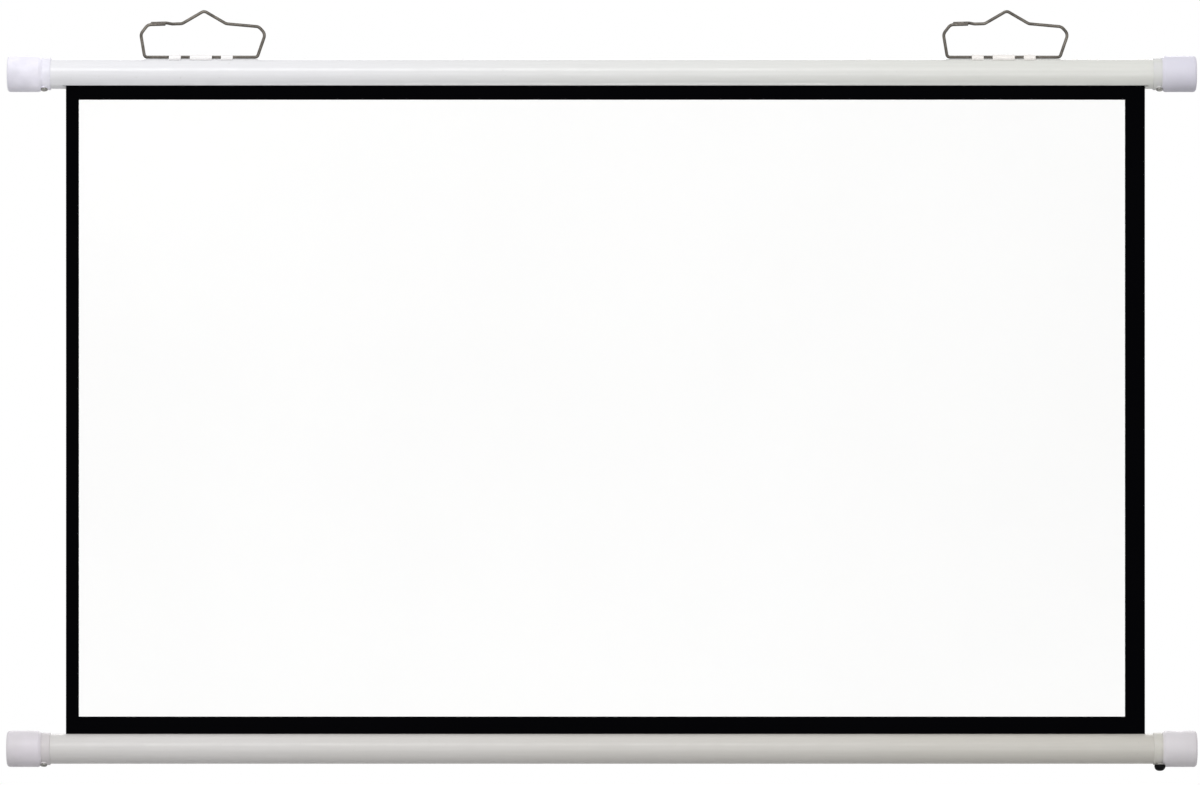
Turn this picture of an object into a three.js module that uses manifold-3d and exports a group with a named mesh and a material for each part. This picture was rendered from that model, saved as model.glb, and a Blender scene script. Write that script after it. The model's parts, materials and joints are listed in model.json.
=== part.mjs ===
// Pull-down projector screen: a spring roller in a tubular case, a bordered cloth, a slotted bottom bar and
// two wire hangers. Millimetres, +Z up, the picture faces -Y.
// The origin lies midway between the two points where the hangers rest on their hooks.
import * as THREE from 'three';
import { mergeVertices } from 'three/addons/utils/BufferGeometryUtils.js';
import Module from 'manifold-3d';

const wasm = await Module();
wasm.setup();

// Gaps between neighbours, and how far a cutter runs past what it cuts
const SEAT_GAP = 0.3;
const CUT_OVERRUN = 2;
const WELD = 0.0001;

// Tubes, and how far they reach with their caps past the side edges of the cloth
const TUBE_DIAMETER = 38;
const TUBE_WALL = 1.2;
const END_REACH_LEFT = 74.55;
const END_REACH_RIGHT = 65.55;

// Caps
const CAP_DIAMETER = 46;
const CAP_END_WALL = 5;
const CAP_BARREL_LENGTH = 40;
const CAP_SHOULDER_LENGTH = 4;
const CAP_END_FILLET = 4;
const CAP_RIM_FILLET = 3;
const COLLAR_LENGTH = 11;
const COLLAR_WALL = 1.3;
const COLLAR_CHAMFER = 0.6;
const GROOVE_LENGTH = 1.2;
const GROOVE_WALL = 0.6;
const SPIGOT_LENGTH = 16;
const SPIGOT_WALL = 2;
const SPIGOT_CHAMFER = 0.8;
const SHAFT_BOSS_LENGTH = 12;
const SHAFT_BOSS_WALL = 2.6;
const PAD_INSET = 3;
const PAD_MARGIN = 0.5;
const PAD_HEIGHT = 0.8;

// Cap screws and the bumper, whose angles run from straight down towards the front
const SCREW_HEAD_DIAMETER = 9;
const SCREW_HEAD_HEIGHT = 2;
const SCREW_HEAD_RIM = 0.7;
const SCREW_ANGLE = THREE.MathUtils.degToRad(25);
const BUMPER_DIAMETER = 14.2;
const BUMPER_HEIGHT = 6.6;
const BUMPER_RIM = 1.2;
const BUMPER_ANGLE = THREE.MathUtils.degToRad(16);

// Cloth
const CLOTH_THICKNESS = 0.4;
const PICTURE_WIDTH = 1328;
const PICTURE_HEIGHT = 783;
const BORDER_LEFT = 16.5;
const BORDER_RIGHT = 25.4;
const BORDER_TOP = 17.1;
const BORDER_BOTTOM = 22;
const SLOT_CLEARANCE = 1.3;
const SLOT_END_ROOM = 4;

// Spring roller
const CORE_DIAMETER = 17;
const CORE_WALL = 0.8;
const CORE_OVERHANG = 20;
const RESERVE_THICKNESS = 0.8;
const RESERVE_GAP = 0.2;
const SHAFT_DIAMETER = 6;
const SHAFT_FLAT = 4.4;
const PLUG_DEPTH = 20;
const PLUG_FLANGE = 2.2;
const SPRING_WIRE = 1.2;
const SPRING_DIAMETER = 10.4;
const SPRING_LENGTH = 124;
const SPRING_CURLS = 24;
const ANCHOR_LENGTH = 12;
const ANCHOR_DIAMETER = 14;

// Hem
const HEM_ROD_DIAMETER = 6;
const HEM_LOOP_GAP = 0.2;
const HEM_ROD_END_ROOM = 6;

// Wire hangers. The hook's inset runs from the side edge of the cloth, heights from the axis of the bottom run,
// and reaches from the middle of the crown; the bottom run lies to the left of it and the right arm hangs lower.
const HOOK_INSET = 174.95;
const WIRE_DIAMETER = 4;
const BASE_REACH_LEFT = 75.6;
const BASE_REACH_RIGHT = 67.6;
const BASE_FILLET = 4;
const WIDEST_REACH_LEFT = 80.5;
const WIDEST_REACH_RIGHT = 77.8;
const WIDEST_HEIGHT = 29.5;
const WIDEST_FILLET = 9;
const SHOULDER_REACH_LEFT = 71.5;
const SHOULDER_REACH_RIGHT = 69.5;
const SHOULDER_HEIGHT_LEFT = 41.2;
const SHOULDER_HEIGHT_RIGHT = 38.7;
const SHOULDER_FILLET = 8;
const CROWN_WIDTH = 56;
const CROWN_FOOT_HEIGHT = 42.5;
const CROWN_FOOT_FILLET = 9;
const CROWN_HEIGHT = 58.8;
const CROWN_FILLET = 6;
const LAP_LENGTH = 22;
const LAP_JOG = 10;
const LAP_GAP = 0.2;
const LAP_RISE = 1;

// Saddle clips that hold the bottom run to the case
const CLIP_THICKNESS = 1;
const CLIP_CENTRE_WIDTH = 28;
const CLIP_SIDE_WIDTH = 15;
const CLIP_SPACING = 33;
const CLIP_WRAP = THREE.MathUtils.degToRad(27);

// Facets
const TUBE_SIDES = 48;
const CAP_SIDES = 36;
const CORE_SIDES = 24;
const PIN_SIDES = 16;
const FILLET_STEPS = 4;
const WIRE_SIDES = 8;
const CURL_STEPS = 8;
const CURL_SIDES = 5;

// Radii and places that follow from the sizes above
const tubeRadius = TUBE_DIAMETER / 2;
const tubeBore = tubeRadius - TUBE_WALL;
const capRadius = CAP_DIAMETER / 2;
const skirtBore = tubeRadius + SEAT_GAP;
const spigotRadius = tubeBore - SEAT_GAP;
const collarRadius = skirtBore + COLLAR_WALL;
const collarStart = CAP_BARREL_LENGTH + CAP_SHOULDER_LENGTH;
const capLength = collarStart + COLLAR_LENGTH;
const padMiddle = collarStart + PAD_INSET;
const padTop = collarRadius + PAD_HEIGHT;
const wireRadius = WIRE_DIAMETER / 2;
const shaftRadius = SHAFT_DIAMETER / 2;
const shaftBore = shaftRadius + SEAT_GAP;
const coreRadius = CORE_DIAMETER / 2;
const coreBore = coreRadius - CORE_WALL;
const reserveBore = coreRadius + RESERVE_GAP;
const reserveRadius = reserveBore + RESERVE_THICKNESS;
const clothFront = reserveRadius + SEAT_GAP + CLOTH_THICKNESS;
const clothBack = reserveRadius + SEAT_GAP;
const clothOffset = (clothFront + clothBack) / 2;
const slotWidth = CLOTH_THICKNESS + 2 * SLOT_CLEARANCE;

const clothRight = (PICTURE_WIDTH + BORDER_LEFT + BORDER_RIGHT) / 2;
const clothLeft = -clothRight;
const picture = { left: clothLeft + BORDER_LEFT, right: clothRight - BORDER_RIGHT };
const hookRight = clothRight - HOOK_INSET;
const baseMiddle = (BASE_REACH_RIGHT - BASE_REACH_LEFT) / 2;
const leftEnd = clothLeft - END_REACH_LEFT;
const rightEnd = clothRight + END_REACH_RIGHT;
const leftWall = leftEnd + CAP_END_WALL;
const rightWall = rightEnd - CAP_END_WALL;

const crownSlope = Math.atan2(CROWN_HEIGHT - CROWN_FOOT_HEIGHT, CROWN_WIDTH / 2);
const crownTop = CROWN_HEIGHT - CROWN_FILLET * (1 / Math.cos(crownSlope) - 1);
const pivotZ = wireRadius - crownTop;
const pivotHeight = tubeRadius + SEAT_GAP + wireRadius;
const caseZ = pivotZ - pivotHeight;
const slotZ = caseZ - Math.sqrt(tubeRadius ** 2 - clothOffset ** 2);
picture.top = slotZ - BORDER_TOP;
picture.bottom = picture.top - PICTURE_HEIGHT;
const clothEnd = picture.bottom - BORDER_BOTTOM;
const barZ = clothEnd - tubeRadius;

// Looks
const look = (color, roughness, metalness = 0) => new THREE.MeshStandardMaterial({ color, roughness, metalness });
const looks = {
  tube: look('#e6e5e1', 0.42),
  cap: look('#e1dee6', 0.5),
  picture: look('#fbfbfa', 0.95),
  border: look('#060607', 0.95),
  wire: look('#7f7a72', 0.4, 0.8),
  clip: look('#ecebe8', 0.45),
  screw: look('#97958f', 0.4, 0.8),
  rubber: look('#0a0a0b', 0.6),
  core: look('#b9bcc0', 0.4, 0.8),
  steel: look('#8d9094', 0.35, 0.9),
};

// Keeps the positions only, shares them, drops the empty triangles of a pole and turns every face outwards
function closed(geometry) {
  const bare = geometry.clone();
  bare.deleteAttribute('normal');
  bare.deleteAttribute('uv');
  const shared = mergeVertices(bare, WELD);
  const corners = shared.index.array;
  const kept = [];
  for (let i = 0; i < corners.length; i += 3) {
    const [a, b, c] = corners.slice(i, i + 3);
    if (a !== b && b !== c && c !== a) kept.push(a, b, c);
  }
  const at = (i) => new THREE.Vector3().fromBufferAttribute(shared.attributes.position, i);
  let volume = 0;
  for (let i = 0; i < kept.length; i += 3) volume += at(kept[i]).dot(at(kept[i + 1]).cross(at(kept[i + 2])));
  if (volume < 0) kept.reverse();
  shared.setIndex(kept);
  return shared;
}

function solid(geometry) {
  const shared = closed(geometry);
  const vertProperties = new Float32Array(shared.attributes.position.array);
  const triVerts = new Uint32Array(shared.index.array);
  return new wasm.Manifold(new wasm.Mesh({ numProp: 3, vertProperties, triVerts }));
}

function geometryOf(body) {
  const { vertProperties, triVerts } = body.getMesh();
  const geometry = new THREE.BufferGeometry();
  geometry.setAttribute('position', new THREE.BufferAttribute(new Float32Array(vertProperties), 3));
  geometry.setIndex(Array.from(triVerts));
  return geometry;
}

function add(group, name, geometry, material) {
  const mesh = new THREE.Mesh(closed(geometry), material);
  mesh.name = name;
  group.add(mesh);
  return mesh;
}

// An outline whose corners, given as [across, along, fillet], are rounded
function rounded(corners) {
  const points = [];
  corners.forEach(([x, y, fillet], i) => {
    const corner = new THREE.Vector2(x, y);
    if (!fillet) {
      points.push(corner);
      return;
    }
    const towards = (other) => new THREE.Vector2(other[0], other[1]).sub(corner).normalize();
    const back = towards(corners[i - 1]);
    const on = towards(corners[i + 1]);
    const half = Math.acos(THREE.MathUtils.clamp(back.dot(on), -1, 1)) / 2;
    const middle = back.clone().add(on).setLength(fillet / Math.sin(half)).add(corner);
    const reach = fillet / Math.tan(half);
    const start = corner.clone().addScaledVector(back, reach).sub(middle);
    const turn = start.cross(corner.clone().addScaledVector(on, reach).sub(middle)) > 0 ? 1 : -1;
    for (let step = 0; step <= FILLET_STEPS; step += 1) {
      const angle = (turn * (Math.PI - 2 * half) * step) / FILLET_STEPS;
      points.push(start.clone().rotateAround(new THREE.Vector2(), angle).add(middle));
    }
  });
  return points;
}

// A profile of [radius, place] turned round the X axis; a ring's profile closes on itself
function turned(points, sides) {
  return new THREE.LatheGeometry(points, sides).rotateZ(-Math.PI / 2);
}

function ring(inner, outer, from, to, sides) {
  const profile = [[inner, from], [outer, from], [outer, to], [inner, to], [inner, from]];
  return turned(rounded(profile), sides);
}

function rod(radius, from, to, sides) {
  return turned(rounded([[0, from], [radius, from], [radius, to], [0, to]]), sides);
}

// A section in the YZ plane, run along X
function run(shape, from, to) {
  const geometry = new THREE.ExtrudeGeometry(shape, { depth: to - from, bevelEnabled: false, steps: 1 });
  const [x, y, z] = [new THREE.Vector3(1, 0, 0), new THREE.Vector3(0, 1, 0), new THREE.Vector3(0, 0, 1)];
  return geometry.applyMatrix4(new THREE.Matrix4().makeBasis(y, z, x)).translate(from, 0, 0);
}

function block(from, to) {
  const size = new THREE.Vector3().subVectors(to, from);
  const middle = new THREE.Vector3().addVectors(from, to).divideScalar(2);
  return new THREE.BoxGeometry(size.x, size.y, size.z).translate(middle.x, middle.y, middle.z);
}

// Points of an arc about a centre, its angles measured from straight up towards +Y
function arc(radius, from, to, steps, y = 0, z = 0) {
  const points = [];
  for (let step = 0; step <= steps; step += 1) {
    const angle = from + ((to - from) * step) / steps;
    points.push(new THREE.Vector2(y + radius * Math.sin(angle), z + radius * Math.cos(angle)));
  }
  return points;
}

// A path that runs straight from point to point, with a section at each of them
class PointPath extends THREE.Curve {
  constructor(points) {
    super();
    this.points = points;
  }

  getPoint(t, target = new THREE.Vector3()) {
    const last = this.points.length - 1;
    const place = Math.min(t * last, last);
    const from = Math.min(Math.floor(place), last - 1);
    return target.lerpVectors(this.points[from], this.points[from + 1], place - from);
  }

  getPointAt(u, target) {
    return this.getPoint(u, target);
  }

  getTangentAt(u, target = new THREE.Vector3()) {
    const last = this.points.length - 1;
    const at = Math.round(u * last);
    const [before, after] = [this.points[Math.max(at - 1, 0)], this.points[Math.min(at + 1, last)]];
    return target.subVectors(after, before).normalize();
  }
}

function wire(points, radius, sides) {
  const section = new THREE.Shape(arc(radius, 0, -2 * Math.PI, sides).slice(0, -1));
  return new THREE.ExtrudeGeometry(section, { steps: points.length - 1, extrudePath: new PointPath(points) });
}

// A bar with two flats, as a section
function flatted(radius, acrossFlats) {
  const reach = Math.acos(acrossFlats / 2 / radius);
  const side = (middle) => arc(radius, middle + reach, middle + Math.PI - reach, PIN_SIDES / 2);
  return new THREE.Shape([...side(0), ...side(Math.PI)]);
}

// A cap: barrel with a rounded end, tapered shoulder, groove and collar over the tube, and a spigot inside it.
// Places run from its outer face. A pad on the collar carries a piece of the given diameter, in its own pocket.
function capGeometry({ outerFace, inwards, bore, padAngle, seated }) {
  const place = (s) => outerFace + inwards * s;
  const spigotEnd = CAP_END_WALL + SPIGOT_LENGTH;
  const groove = skirtBore + GROOVE_WALL;
  const bossEnd = bore ? CAP_END_WALL + SHAFT_BOSS_LENGTH : CAP_END_WALL;
  const bossRadius = shaftBore + SHAFT_BOSS_WALL;
  const boss = bore ? [[bossRadius, place(CAP_END_WALL)], [bossRadius, place(bossEnd)]] : [];
  const shell = rounded([
    [0, place(0)],
    [capRadius, place(0), CAP_END_FILLET],
    [capRadius, place(CAP_BARREL_LENGTH), CAP_RIM_FILLET],
    [collarRadius, place(collarStart)],
    [groove, place(collarStart)],
    [groove, place(collarStart + GROOVE_LENGTH)],
    [collarRadius, place(collarStart + GROOVE_LENGTH)],
    [collarRadius, place(capLength - COLLAR_CHAMFER)],
    [collarRadius - COLLAR_CHAMFER, place(capLength)],
    [skirtBore, place(capLength)],
    [skirtBore, place(CAP_END_WALL)],
    [spigotRadius, place(CAP_END_WALL)],
    [spigotRadius, place(spigotEnd - SPIGOT_CHAMFER)],
    [spigotRadius - SPIGOT_CHAMFER, place(spigotEnd)],
    [spigotRadius - SPIGOT_WALL, place(spigotEnd)],
    [spigotRadius - SPIGOT_WALL, place(CAP_END_WALL)],
    ...boss,
    [0, place(bossEnd)],
  ]);
  const padRadius = COLLAR_LENGTH / 2 - PAD_MARGIN;
  const padFoot = (skirtBore + Math.sqrt(collarRadius ** 2 - padRadius ** 2)) / 2;
  const disc = (radius, foot, top) => {
    const profile = rounded([[0, foot], [radius, foot], [radius, top], [0, top]]);
    const upright = new THREE.LatheGeometry(profile, CORE_SIDES);
    return solid(upright.rotateX(-Math.PI / 2 - padAngle).translate(place(padMiddle), 0, 0));
  };
  const pocket = disc(seated / 2 + SEAT_GAP, padTop, capRadius + CUT_OVERRUN);
  let body = solid(turned(shell, CAP_SIDES)).subtract(pocket).add(disc(padRadius, padFoot, padTop));
  if (bore) {
    const ends = [place(CAP_END_WALL), place(bossEnd + CUT_OVERRUN)].sort((a, b) => a - b);
    body = body.subtract(solid(run(bore, ...ends)));
  }
  return geometryOf(body);
}

// A small turned piece that stands on the pad of a collar
function onPad(group, name, profile, x, angle, material) {
  const mesh = add(group, name, new THREE.LatheGeometry(rounded(profile), CORE_SIDES), material);
  mesh.rotation.x = -Math.PI / 2 - angle;
  mesh.position.x = x;
}

function addScrew(group, name, x) {
  const foot = padTop + SEAT_GAP;
  const radius = SCREW_HEAD_DIAMETER / 2;
  const top = foot + SCREW_HEAD_HEIGHT;
  const crown = SCREW_HEAD_HEIGHT - SCREW_HEAD_RIM;
  const profile = [[0, foot], [radius, foot], [radius, foot + SCREW_HEAD_RIM], [radius, top, crown], [0, top]];
  onPad(group, name, profile, x, SCREW_ANGLE, looks.screw);
}

function addBumper(group, name, x) {
  const foot = padTop + SEAT_GAP;
  const radius = BUMPER_DIAMETER / 2;
  const top = foot + BUMPER_HEIGHT;
  const dome = BUMPER_HEIGHT - BUMPER_RIM;
  const profile = [[0, foot], [radius, foot], [radius, top, dome], [0, top]];
  onPad(group, name, profile, x, BUMPER_ANGLE, looks.rubber);
}

// Case: tube with a slot at its lower front, caps, spear and idler pin
function buildCase() {
  const group = new THREE.Group();
  group.position.z = caseZ;
  const wall = solid(ring(tubeBore, tubeRadius, leftWall + SEAT_GAP, rightWall - SEAT_GAP, TUBE_SIDES));
  const slotTop = -Math.sqrt(tubeBore ** 2 - clothOffset ** 2) + slotWidth;
  const slot = block(
    new THREE.Vector3(clothLeft - SLOT_END_ROOM, -clothOffset - slotWidth / 2, -tubeRadius - CUT_OVERRUN),
    new THREE.Vector3(clothRight + SLOT_END_ROOM, -clothOffset + slotWidth / 2, slotTop),
  );
  add(group, 'case_tube', geometryOf(wall.subtract(solid(slot))), looks.tube);

  const keyed = flatted(shaftBore, SHAFT_FLAT + 2 * SEAT_GAP);
  const round = new THREE.Shape(arc(shaftBore, 0, 2 * Math.PI, PIN_SIDES).slice(0, -1));
  const screwed = { padAngle: SCREW_ANGLE, seated: SCREW_HEAD_DIAMETER };
  const left = { outerFace: leftEnd, inwards: 1, bore: keyed, ...screwed };
  const right = { outerFace: rightEnd, inwards: -1, bore: round, ...screwed };
  add(group, 'case_cap_left', capGeometry(left), looks.cap);
  add(group, 'case_cap_right', capGeometry(right), looks.cap);
  addScrew(group, 'case_screw_left', leftEnd + padMiddle);
  addScrew(group, 'case_screw_right', rightEnd - padMiddle);
  return group;
}

// Spring roller on its fixed spear, with the turns of cloth that never leave it
function buildRoller() {
  const group = new THREE.Group();
  group.position.z = caseZ;
  const [coreLeft, coreRight] = [clothLeft - CORE_OVERHANG, clothRight + CORE_OVERHANG];
  const springFrom = coreLeft + PLUG_DEPTH + SEAT_GAP;
  const anchorFrom = springFrom + SPRING_LENGTH + SEAT_GAP;
  const anchorTo = anchorFrom + ANCHOR_LENGTH;
  add(group, 'roller_tube', ring(coreBore, coreRadius, coreLeft, coreRight, CORE_SIDES), looks.core);
  add(group, 'cloth_reserve', ring(reserveBore, reserveRadius, clothLeft, clothRight, CORE_SIDES), looks.border);
  for (const [name, end, inwards] of [['roller_plug_left', coreLeft, 1], ['roller_plug_right', coreRight, -1]]) {
    const place = (s) => end + inwards * s;
    const profile = [
      [shaftBore, place(-SEAT_GAP - PLUG_FLANGE)],
      [coreRadius, place(-SEAT_GAP - PLUG_FLANGE)],
      [coreRadius, place(-SEAT_GAP)],
      [coreBore - SEAT_GAP, place(-SEAT_GAP)],
      [coreBore - SEAT_GAP, place(PLUG_DEPTH)],
      [shaftBore, place(PLUG_DEPTH)],
      [shaftBore, place(-SEAT_GAP - PLUG_FLANGE)],
    ];
    add(group, name, turned(rounded(profile), CORE_SIDES), looks.cap);
  }
  add(group, 'roller_spear', run(flatted(shaftRadius, SHAFT_FLAT), leftWall + SEAT_GAP, anchorTo), looks.steel);
  const pinEnds = [coreRight - PLUG_DEPTH, rightWall - SEAT_GAP];
  add(group, 'idler_pin', rod(shaftRadius, ...pinEnds, PIN_SIDES), looks.steel);
  add(group, 'spring_anchor', ring(shaftBore, ANCHOR_DIAMETER / 2, anchorFrom, anchorTo, CORE_SIDES), looks.steel);
  add(group, 'torsion_spring', springGeometry(springFrom, springFrom + SPRING_LENGTH), looks.steel);
  return group;
}

function springGeometry(from, to) {
  const steps = SPRING_CURLS * CURL_STEPS;
  const coil = (SPRING_DIAMETER - SPRING_WIRE) / 2;
  const [first, last] = [from + SPRING_WIRE / 2, to - SPRING_WIRE / 2];
  const points = [];
  for (let step = 0; step <= steps; step += 1) {
    const angle = (2 * Math.PI * step) / CURL_STEPS;
    const x = first + ((last - first) * step) / steps;
    points.push(new THREE.Vector3(x, coil * Math.cos(angle), coil * Math.sin(angle)));
  }
  let least = Infinity;
  points.forEach((point, i) => {
    for (const other of points.slice(i + CURL_STEPS / 2)) least = Math.min(least, point.distanceTo(other));
  });
  console.log(`torsion spring: least gap to itself ${(least - SPRING_WIRE).toFixed(2)} mm`);
  return wire(points, SPRING_WIRE / 2, CURL_SIDES);
}

// Cloth, in the plane where it leaves the roller
function buildCloth() {
  const group = new THREE.Group();
  const piece = (name, left, right, bottom, top, material) => {
    const [low, high] = [new THREE.Vector3(left, -clothFront, bottom), new THREE.Vector3(right, -clothBack, top)];
    add(group, name, block(low, high), material);
  };
  piece('projection_sheet', picture.left, picture.right, picture.bottom, picture.top, looks.picture);
  piece('border_top', clothLeft, clothRight, picture.top, caseZ, looks.border);
  piece('border_left', clothLeft, picture.left, picture.bottom, picture.top, looks.border);
  piece('border_right', picture.right, clothRight, picture.bottom, picture.top, looks.border);
  piece('border_bottom', clothLeft, clothRight, clothEnd, picture.bottom, looks.border);
  return group;
}

// Bottom bar: slotted tube with the hem looped round its rod, hanging from the lips of the slot
function buildBar() {
  const group = new THREE.Group();
  group.position.set(0, -clothOffset, barZ);
  const [outerLip, innerLip] = [Math.asin(slotWidth / 2 / tubeRadius), Math.asin(slotWidth / 2 / tubeBore)];
  const section = new THREE.Shape([
    ...arc(tubeRadius, outerLip, 2 * Math.PI - outerLip, TUBE_SIDES),
    ...arc(tubeBore, 2 * Math.PI - innerLip, innerLip, TUBE_SIDES),
  ]);
  add(group, 'bar_tube', run(section, leftWall + SEAT_GAP, rightWall - SEAT_GAP), looks.tube);

  const left = { outerFace: leftEnd, inwards: 1, bore: null, padAngle: SCREW_ANGLE, seated: SCREW_HEAD_DIAMETER };
  const right = { outerFace: rightEnd, inwards: -1, bore: null, padAngle: BUMPER_ANGLE, seated: BUMPER_DIAMETER };
  add(group, 'bar_cap_left', capGeometry(left), looks.cap);
  add(group, 'bar_cap_right', capGeometry(right), looks.cap);
  addScrew(group, 'bar_screw_left', leftEnd + padMiddle);
  addBumper(group, 'bar_bumper_right', rightEnd - padMiddle);

  const rodRadius = HEM_ROD_DIAMETER / 2;
  const loopBore = rodRadius + HEM_LOOP_GAP;
  const loopRadius = loopBore + CLOTH_THICKNESS;
  const lipHeight = tubeBore * Math.cos(innerLip);
  const hemZ = lipHeight - SEAT_GAP - Math.sqrt(loopRadius ** 2 - (slotWidth / 2) ** 2);
  const neck = Math.asin(CLOTH_THICKNESS / loopRadius);
  const tailTop = tubeRadius - SEAT_GAP;
  const loop = new THREE.Shape([
    ...arc(loopRadius, neck, 2 * Math.PI - neck, CORE_SIDES, 0, hemZ),
    new THREE.Vector2(-CLOTH_THICKNESS, tailTop),
    new THREE.Vector2(CLOTH_THICKNESS, tailTop),
  ]);
  loop.holes.push(new THREE.Path(arc(loopBore, 2 * Math.PI, 0, CORE_SIDES, 0, hemZ).slice(0, -1)));
  add(group, 'hem_loop', run(loop, clothLeft, clothRight), looks.border);
  const rodEnds = [clothLeft - HEM_ROD_END_ROOM, clothRight + HEM_ROD_END_ROOM];
  add(group, 'hem_rod', rod(rodRadius, ...rodEnds, PIN_SIDES).translate(0, 0, hemZ), looks.steel);
  return group;
}

// One bent wire. It starts on the left arm, runs down, along the case, up and over the crown, and laps its start
// from behind and a little above.
function hangerGeometry() {
  const lapFrom = -SHOULDER_REACH_LEFT + LAP_LENGTH;
  const arm = (x) => THREE.MathUtils.mapLinear(
    x, -SHOULDER_REACH_LEFT, -CROWN_WIDTH / 2, SHOULDER_HEIGHT_LEFT, CROWN_FOOT_HEIGHT,
  );
  const outline = rounded([
    [lapFrom, arm(lapFrom)],
    [-SHOULDER_REACH_LEFT, SHOULDER_HEIGHT_LEFT, SHOULDER_FILLET],
    [-WIDEST_REACH_LEFT, WIDEST_HEIGHT, WIDEST_FILLET],
    [-BASE_REACH_LEFT, 0, BASE_FILLET],
    [BASE_REACH_RIGHT, 0, BASE_FILLET],
    [WIDEST_REACH_RIGHT, WIDEST_HEIGHT, WIDEST_FILLET],
    [SHOULDER_REACH_RIGHT, SHOULDER_HEIGHT_RIGHT, SHOULDER_FILLET],
    [CROWN_WIDTH / 2, CROWN_FOOT_HEIGHT, CROWN_FOOT_FILLET],
    [0, CROWN_HEIGHT, CROWN_FILLET],
    [-CROWN_WIDTH / 2, CROWN_FOOT_HEIGHT, CROWN_FOOT_FILLET],
    [lapFrom + LAP_JOG, arm(lapFrom + LAP_JOG)],
  ]);
  const path = outline.map((point) => new THREE.Vector3(point.x, 0, point.y));
  const aside = WIRE_DIAMETER + LAP_GAP;
  path.push(new THREE.Vector3(lapFrom, aside, arm(lapFrom) + LAP_RISE));
  const lapTo = lapFrom - LAP_LENGTH + SHOULDER_FILLET / 2;
  path.push(new THREE.Vector3(lapTo, aside, arm(lapTo) + LAP_RISE));
  return wire(path, wireRadius, WIRE_SIDES);
}

// A strip bent over the wire, with its feet on the case
function clipGeometry(middle, width) {
  const foot = skirtBore;
  const [innerTurn, outerTurn] = [wireRadius + SEAT_GAP, wireRadius + SEAT_GAP + CLIP_THICKNESS];
  const contour = (radius, turn) => {
    const lip = Math.asin(turn / radius);
    const quarter = Math.PI / 2;
    return [
      ...arc(radius, -CLIP_WRAP, -lip, FILLET_STEPS),
      ...arc(turn, -quarter, quarter, 2 * FILLET_STEPS, 0, pivotHeight),
      ...arc(radius, lip, CLIP_WRAP, FILLET_STEPS),
    ];
  };
  const outer = contour(foot + CLIP_THICKNESS, outerTurn);
  const section = new THREE.Shape([...outer, ...contour(foot, innerTurn).reverse()]);
  return run(section, middle - width / 2, middle + width / 2);
}

function buildHangers() {
  const group = new THREE.Group();
  const clips = [
    ['outer', CLIP_SPACING, CLIP_SIDE_WIDTH],
    ['centre', 0, CLIP_CENTRE_WIDTH],
    ['inner', -CLIP_SPACING, CLIP_SIDE_WIDTH],
  ];
  for (const [side, hand] of [['left', -1], ['right', 1]]) {
    const hook = hand * hookRight;
    const hanger = add(group, `hanger_${side}`, hangerGeometry(), looks.wire);
    hanger.position.set(hook, 0, pivotZ);
    for (const [where, place, width] of clips) {
      const middle = hook + baseMiddle + hand * place;
      const clip = add(group, `clip_${side}_${where}`, clipGeometry(middle, width), looks.clip);
      clip.position.z = caseZ;
    }
  }
  return group;
}

const screen = new THREE.Group();
screen.name = 'projector_screen';
screen.add(buildCase(), buildRoller(), buildCloth(), buildBar(), buildHangers());

export default screen;
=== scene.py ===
import json
import math

import bmesh
import bpy
from mathutils import Matrix, Vector, noise


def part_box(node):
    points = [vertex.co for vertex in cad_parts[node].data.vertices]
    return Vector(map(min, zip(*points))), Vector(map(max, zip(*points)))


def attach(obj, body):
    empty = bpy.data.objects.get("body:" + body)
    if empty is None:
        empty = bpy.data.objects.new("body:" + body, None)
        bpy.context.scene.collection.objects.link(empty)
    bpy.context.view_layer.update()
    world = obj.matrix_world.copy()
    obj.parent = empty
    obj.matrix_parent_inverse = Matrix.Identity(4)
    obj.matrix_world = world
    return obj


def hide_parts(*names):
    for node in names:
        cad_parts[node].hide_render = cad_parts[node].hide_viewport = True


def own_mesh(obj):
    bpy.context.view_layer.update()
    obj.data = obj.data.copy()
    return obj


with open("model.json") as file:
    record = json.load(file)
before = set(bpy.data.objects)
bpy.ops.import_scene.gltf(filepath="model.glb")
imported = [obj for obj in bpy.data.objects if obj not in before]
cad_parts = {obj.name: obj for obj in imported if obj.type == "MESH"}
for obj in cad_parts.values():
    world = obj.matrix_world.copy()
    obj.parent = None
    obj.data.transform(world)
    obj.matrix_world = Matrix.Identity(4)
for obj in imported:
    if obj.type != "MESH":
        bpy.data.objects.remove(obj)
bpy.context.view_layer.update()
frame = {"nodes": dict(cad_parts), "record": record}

nodes = frame["nodes"]


def middle_z(node):
    low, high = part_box(node)
    return (low.z + high.z) / 2


# ---------------------------------------------------------------- sizes, in metres, as in the solid model
CLOTH_Y = -0.0100
CLOTH_HALF = 0.68495
CLOTH_THICKNESS = 0.0004
PICTURE_LEFT, PICTURE_RIGHT = -0.66845, 0.65955
PICTURE_BOTTOM, PICTURE_TOP = (corner.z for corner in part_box("projection_sheet"))
CLOTH_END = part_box("border_bottom")[0].z
LEAD_END = -0.0834  # where the cloth enters the case
CASE_Z = middle_z("case_tube")
BAR_Z = middle_z("bar_cap_left")
ROD_Z = middle_z("hem_rod")
HOOK_X = 0.510
WIRE_RADIUS = 0.0020
PIVOT_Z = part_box("hanger_left")[0].z + WIRE_RADIUS
CLIPS_ASIDE = -0.0040  # the clips lie this far beside the crown of their hanger
CLIP_FOOT = 0.0203  # from the tube's axis to the outside of a clip's foot
ENDS_MIDDLE = -0.0045  # halfway between the outer faces of the two caps
COLLAR_EDGE = (0.7100, 0.7130)  # from there, where a cap's collar turns into its barrel

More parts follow.
